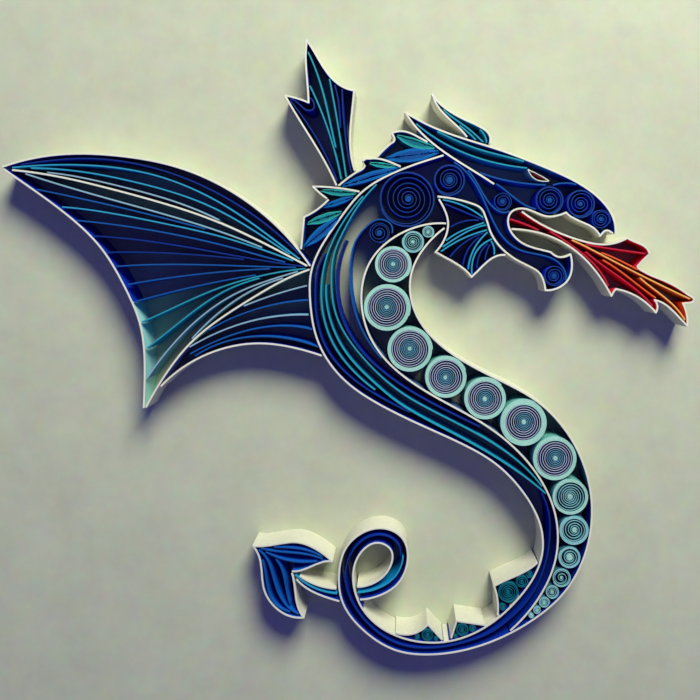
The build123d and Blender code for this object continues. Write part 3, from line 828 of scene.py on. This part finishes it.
STRIP_SHADES = {
    "arrow_strips": "blue",
    "body_navy_strips": "navy",
    "body_teal_strips": "teal",
    "fin_navy_ribs": "navy",
    "fin_teal_ribs": "teal",
    "flame_gold_strips": "gold",
    "flame_orange_strips": "orange",
    "flame_red_strips": "red",
    "frill_navy_ribs": "navy",
    "frill_teal_ribs": "cyan",
    "head_blue_strips": "blue",
    "head_teal_strips": "teal",
    "jaw_strips": "blue",
    "panel_blue_ribs": "blue",
    "panel_pale_ribs": "pale",
    "scroll_strip": "blue",
    "tail_navy_strip": "navy",
    "tail_teal_strips": "cyan",
    "wing_blue_ribs": "blue",
    "wing_cyan_ribs": "cyan",
    "wing_navy_ribs": "navy",
    "wing_pale_ribs": "pale",
    "wing_teal_ribs": "teal",
} | dict.fromkeys(EDGES, "white")
NODE_SEEDS = 100  # from one node to the next

for number, (node, shade) in enumerate(sorted(STRIP_SHADES.items())):
    sheet = Sheet()
    thickness = OUTLINE if shade == "white" else RIB
    shade_lining = shade_lining_of(node) if node in SHADE_LININGS else None
    for index, outlines in enumerate(top_outlines(node)):
        legs = strip_legs(outlines[0], thickness) if len(outlines) == 1 else None
        if legs is None:
            add_as_packed(sheet, outlines)
        else:
            add_strip(sheet, legs, thickness, 0, number * NODE_SEEDS + index, shade_lining)
    shades = [shade]
    if shade_lining:
        shades += [SHADE_LININGS[node][0], FAR_SHADE_LININGS.get(node, SHADE_LININGS[node])[0]]
    sheet.finish(node, shades)


# Coils: for each node, the shades from outside in, the paper's thickness (mm), and for its coils
# from the largest to the smallest: tight turns, gap (mm), loose turns, core radius (mm) and lean.
# In MINT the loose and inner turns are the same mint paper in darker-walled tones: painted shade
# between the turns

SLATE = ("slate", "slate", "slate", "blue")
MINT = ("mint", "lavender", "seafoam", "mint")
MIST = ("mist", "mist", "mist", "mint")
SEA = ("mint", "mist", "mist", "mint")
TEAL = ("deep_teal", "deep_teal", "deep_teal", "deep_teal")
COILS = {
    "neck_coil_large": (SLATE, 0.2, [(2, 1.8, 4, 0.8, 0.06)]),
    "neck_coils_small": (SLATE, 0.2, [(2, 1.5, 2.5, 0.8, 0.03), (1, 0.8, 1.2, 0.7, 0.0)]),
    "snout_coils": (
        SLATE,
        0.2,
        [(2, 1.1, 2.2, 0.5, 0.03), (2, 1.1, 2.2, 0.6, 0.03), (1, 0.8, 1.6, 0.5, 0.0)],
    ),
    "jaw_coils": (SLATE, 0.2, [(1, 1.0, 2, 0.5, 0.0), (1, 1.0, 1.6, 0.45, 0.0)]),
    "tail_spike_coils": (TEAL, 0.16, [(2, 0.45, 3, 0.4, 0.05)] + [(1, 0.4, 1.5, 0.3, 0.03)] * 9),
    "belly_coils_small": (
        MIST,
        0.17,
        [(3, 0.45, 3, 0.4, 0.03)] + [(2, 0.35, 1.6, 0.35, 0.03)] * 6,
    ),
    "belly_coil_01": (MINT, 0.2, [(4, 0.5, 6, 0.5, 0.02)]),
    "belly_coil_02": (MINT, 0.2, [(5, 0.55, 8, 0.5, 0.03)]),
    "belly_coil_03": (MINT, 0.2, [(5, 0.6, 8, 0.5, 0.03)]),
    "belly_coil_04": (MINT, 0.2, [(5, 0.65, 7, 0.5, 0.04)]),
    "belly_coil_05": (MINT, 0.2, [(5, 0.6, 7, 0.6, 0.03)]),
    "belly_coil_06": (MINT, 0.2, [(7, 0.6, 7, 0.6, 0.03)]),
    "belly_coil_07": (MINT, 0.2, [(5, 0.6, 7, 0.6, 0.03)]),
    "belly_coil_08": (SEA, 0.2, [(4, 0.7, 5, 0.6, 0.03)]),
    "belly_coil_09": (MIST, 0.2, [(4, 0.6, 3, 0.6, 0.04)]),
    "belly_coil_10": (MIST, 0.2, [(3, 0.8, 1.5, 0.8, 0.0)]),
}
COIL_SEED = 7000

for number, (node, (shades, thickness, rolls)) in enumerate(sorted(COILS.items())):
    sheet = Sheet()
    rims = [found[0] for found in top_outlines(node)]
    rims.sort(key=lambda loop: -np.ptp(loop, axis=0).max())
    for index, (rim, (tight, gap, loose, core, lean)) in enumerate(zip(rims, rolls)):
        seed = COIL_SEED + number * NODE_SEEDS + index
        add_coil(sheet, rim, thickness * MM, tight, gap * MM, loose, core * MM, lean, seed)
    sheet.finish(node, shades)


# Leaves: for each node, the papers from outside in, all of one thickness

LEAVES = {
    "spine_blue_leaves": ("leaf_blue", "leaf_blue", "blue"),
    "spine_teal_leaves": ("aqua", "leaf_teal", "deep_teal"),
}
LEAF_PAPER = 0.22 * MM
LEAF_SEED = 9000
LEAF_SEEDS = 20  # from one leaf to the next

for node, shades in LEAVES.items():
    sheet = Sheet()
    for index, outlines in enumerate(top_outlines(node)):
        add_leaf(sheet, outlines[0], LEAF_PAPER, LEAF_SEED + index * LEAF_SEEDS)
    sheet.finish(node, shades)


# Eye: a folded ring of white strip with a red one in it

EYE_RING_SEED, EYE_LINER_SEED = 502, 501
EYE_SHARPEST = 50.0  # degrees from facet to facet in the ring's curve, between its folds
LEAST_COSINE = 0.2
MOST_MITRE = 4  # how far a corner's middle may lie, in half thicknesses


def ring_middle(inside, thickness):
    """The closed middle line of a ring of strip, from the outline of its inside."""
    turn = 1 if sum(cross(inside[k - 1], inside[k]) for k in range(len(inside))) > 0 else -1
    before = np.array([unit(run) for run in inside - np.roll(inside, 1, axis=0)])
    middle = []
    for point, a, b in zip(inside, before, np.roll(before, -1, axis=0)):
        mitre = min(1 / max(math.cos(angle_between(a, b) / 2), LEAST_COSINE), MOST_MITRE)
        middle.append(point + turn * right_of(unit(a + b)) * (mitre * thickness / 2))
    first = max(range(len(middle)), key=lambda k: middle[k][0])
    return np.array(middle[first:] + middle[: first + 1])


sheet = Sheet()
for outlines in top_outlines("eye_strips"):
    if len(outlines) == 1:
        add_strip(sheet, strip_legs(outlines[0], EYE), EYE, 1, EYE_LINER_SEED)
    else:
        legs = split_legs(ring_middle(outlines[1], EYE), EYE_SHARPEST)
        add_strip(sheet, legs, EYE, 0, EYE_RING_SEED)
sheet.finish("eye_strips", ["white", "wine"])


# Stage: a camera straight above, a pale floor, a large soft lamp high on the upper right, and a
# dim room

PICTURE = 700  # pixels each way
DRAGON_LENGTH = 183.9  # mm
DRAGON_PIXELS = 694.0  # its length in the picture
STEP = DRAGON_LENGTH / DRAGON_PIXELS * MM
NADIR = (13.556 * MM, 22.644 * MM)  # the point below the camera
CAMERA_HEIGHT = 212 * MM
CAMERA_SHIFT = (-50, -88)  # pixels from the nadir to the picture's middle
SENSOR = 36.0  # mm
CLIP_START = 0.01
FLOOR_REACH = 3.0
FLOOR_LEVEL = -0.00005
FLOOR_COLOUR = (206, 211, 184)
LAMP_PLACE = (0.16, 0.46, 0.4)
LAMP_TARGET = (0.0, 0.02, 0.0)
LAMP_SIZE = 0.3
LAMP_POWER = 5.5
LAMP_COLOUR = (0.99, 1.0, 0.8)
ROOM_COLOUR = (0.2, 0.19, 0.95, 1)
ROOM_LEVEL = 0.31

scene = bpy.context.scene

camera_data = bpy.data.cameras.new("camera")
camera_data.sensor_width = SENSOR
camera_data.lens = SENSOR * CAMERA_HEIGHT / (PICTURE * STEP)
camera_data.shift_x = CAMERA_SHIFT[0] / PICTURE
camera_data.shift_y = CAMERA_SHIFT[1] / PICTURE
camera_data.clip_start = CLIP_START
camera = bpy.data.objects.new("camera", camera_data)
camera.location = (*NADIR, HEIGHT + CAMERA_HEIGHT)
scene.collection.objects.link(camera)
scene.camera = camera

floor_mesh = bpy.data.meshes.new("floor")
floor_corners = [
    (x * FLOOR_REACH, y * FLOOR_REACH, 0) for x, y in ((-1, -1), (1, -1), (1, 1), (-1, 1))
]
floor_mesh.from_pydata(floor_corners, [], [(0, 1, 2, 3)])
floor_mesh.materials.append(
    paper("floor_plain", FLOOR_COLOUR, variation=0.04, bump=0.1, fibre_scale=200.0)
)
floor = bpy.data.objects.new("floor", floor_mesh)
floor.location.z = FLOOR_LEVEL
scene.collection.objects.link(floor)

lamp_data = bpy.data.lights.new("key", "AREA")
lamp_data.shape = "DISK"
lamp_data.size = LAMP_SIZE
lamp_data.energy = LAMP_POWER
lamp_data.color = LAMP_COLOUR
lamp = bpy.data.objects.new("key", lamp_data)
lamp.location = LAMP_PLACE
lamp.rotation_mode = "QUATERNION"
aim = Vector(target - place for target, place in zip(LAMP_TARGET, LAMP_PLACE))
lamp.rotation_quaternion = aim.to_track_quat("-Z", "Y")
scene.collection.objects.link(lamp)

room = bpy.data.worlds.new("room")
scene.world = room
room.use_nodes = True
background = room.node_tree.nodes["Background"]
background.inputs["Color"].default_value = ROOM_COLOUR
background.inputs["Strength"].default_value = ROOM_LEVEL

scene.view_settings.view_transform = "Standard"
